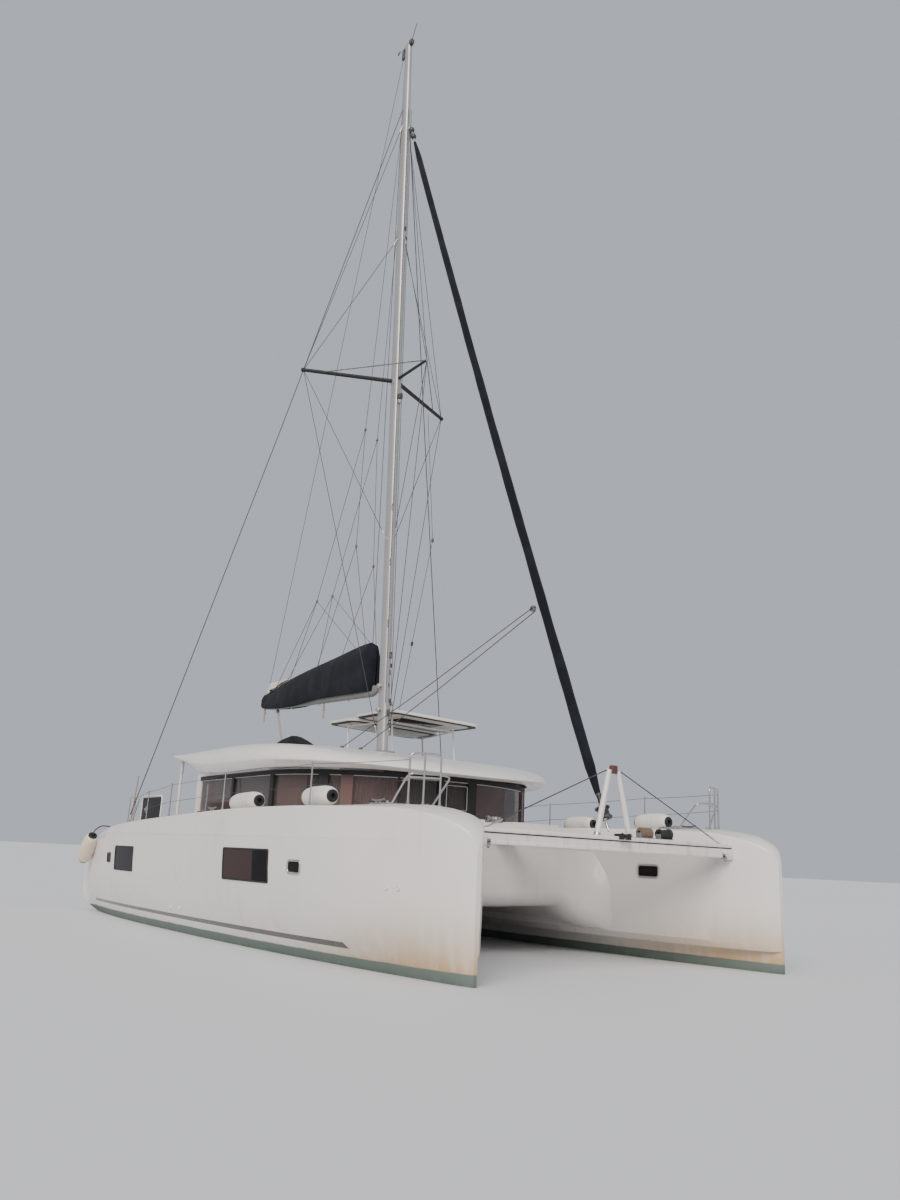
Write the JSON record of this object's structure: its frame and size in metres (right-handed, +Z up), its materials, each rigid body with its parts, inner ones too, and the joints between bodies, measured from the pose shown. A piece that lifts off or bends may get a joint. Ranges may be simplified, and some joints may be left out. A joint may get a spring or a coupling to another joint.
{
  "type": "sailing catamaran",
  "caption": "Cruising sailing catamaran afloat: twin hulls, saloon, coachroof, mast, swinging boom, furled headsail, steering wheel linked to twin rudders.",
  "frame": {"origin": "on the centreline amidships, at the water's level", "axes": "+X forward to the bows, +Y to port, +Z up"},
  "size_m": [12.8, 7.827, 21.9],
  "materials": {
    "gelcoat": "satin white gelcoat",
    "antifouling": "dull green grey antifouling",
    "glass": "dark tinted glazing",
    "aluminium": "anodised",
    "steel": "polished stainless",
    "black": "black satin",
    "canvas": "dark navy woven acrylic",
    "vinyl": "soft white vinyl",
    "net": "woven netting",
    "bronze": "dull bronze"
  },
  "bodies": {
    "boat": {"hull_starboard": "gelcoat", "hull_port": "gelcoat", "keel_starboard": "antifouling", "keel_port": "antifouling", "bridgedeck": "gelcoat", "coachroof": "gelcoat", "helm_well": "gelcoat", "cabin_house": "gelcoat", "window_starboard": "glass", "window_front": "glass", "window_port": "glass", "aft_bulkhead": "gelcoat", "roof_post_starboard": "aluminium", "roof_post_port": "aluminium", "crossbeam": "aluminium", "catwalk": "gelcoat", "gull_striker": "gelcoat", "striker_stay_starboard": "steel", "striker_stay_port": "steel", "trampoline_starboard": "net", "trampoline_port": "net", "windlass": "steel", "mast": "aluminium", "spreader_starboard": "black", "spreader_port": "black", "forward_strut": "black", "shroud_starboard": "steel", "shroud_port": "steel", "helm_console": "gelcoat", "helm_seat": "vinyl", "bimini_top": "gelcoat", "bimini_top_aft": "gelcoat", "bimini_frame": "steel", "roof_cover": "canvas", "cockpit_bench": "vinyl", "cockpit_table": "gelcoat", "saloon_settee": "vinyl", "saildrive_starboard": "bronze", "saildrive_port": "bronze", "guardrail_starboard": "steel", "guardrail_port": "steel", "pulpit_starboard": "steel", "pulpit_port": "steel", "fender_starboard_aft": "vinyl", "fender_starboard_fore": "vinyl", "fender_port_aft": "vinyl", "fender_port_fore": "vinyl", "fender_stern": "vinyl"},
    "boom": {"boom": "aluminium", "sail_bag": "canvas"},
    "furler": {"furler_drum": "black", "furled_headsail": "canvas"},
    "steering_wheel": {"helm_wheel": "steel"},
    "rudder_starboard": {"rudder_starboard": "antifouling"},
    "rudder_port": {"rudder_port": "antifouling"},
    "propeller_starboard": {"propeller_starboard": "bronze"},
    "propeller_port": {"propeller_port": "bronze"},
    "saloon_door": {"saloon_door": "glass"},
    "locker_lid_starboard": {"locker_lid_starboard": "gelcoat"},
    "locker_lid_port": {"locker_lid_port": "gelcoat"}
  },
  "joints": [
    {"name": "boom_swing", "type": "hinge", "parent": "boat", "child": "boom", "pos_m": [-0.76249, 0, 4.6], "axis": [-0.0475, 0, 0.9989], "range_deg": [-44, 44]},
    {"name": "furler_turn", "type": "hinge", "parent": "boat", "child": "furler", "pos_m": [5.66, 0, 1.88], "axis": [-0.3799, 0, 0.925], "continuous": true},
    {"name": "wheel_turn", "type": "hinge", "parent": "boat", "child": "steering_wheel", "pos_m": [-1.625, 1.35, 3.15], "axis": [-0.9397, 0, 0.342], "range_deg": [-540, 540]},
    {"name": "rudder_starboard_turn", "type": "hinge", "parent": "boat", "child": "rudder_starboard", "pos_m": [-5.35, -2.83, -0.43], "axis": [0, 0, 1], "range_deg": [-36, 36]},
    {"name": "rudder_port_turn", "type": "hinge", "parent": "boat", "child": "rudder_port", "pos_m": [-5.35, 2.83, -0.43], "axis": [0, 0, 1], "range_deg": [-36, 36]},
    {"name": "propeller_starboard_spin", "type": "hinge", "parent": "boat", "child": "propeller_starboard", "pos_m": [-4.2, -2.83, -0.8], "axis": [1, 0, 0], "continuous": true},
    {"name": "propeller_port_spin", "type": "hinge", "parent": "boat", "child": "propeller_port", "pos_m": [-4.2, 2.83, -0.8], "axis": [1, 0, 0], "continuous": true},
    {"name": "saloon_door_slide", "type": "slide", "parent": "boat", "child": "saloon_door", "axis": [0, -1, 0], "range_m": [0, 0.9]},
    {"name": "locker_lid_starboard_open", "type": "hinge", "parent": "boat", "child": "locker_lid_starboard", "pos_m": [3.2, -0.78, 2.03], "axis": [0, 1, 0], "range_deg": [0, 85]},
    {"name": "locker_lid_port_open", "type": "hinge", "parent": "boat", "child": "locker_lid_port", "pos_m": [3.2, 0.78, 2.03], "axis": [0, 1, 0], "range_deg": [0, 85]}
  ],
  "couplings": [
    {"joint": "rudder_starboard_turn", "follows": "wheel_turn", "ratio": 0.064815},
    {"joint": "rudder_port_turn", "follows": "wheel_turn", "ratio": 0.064815}
  ]
}
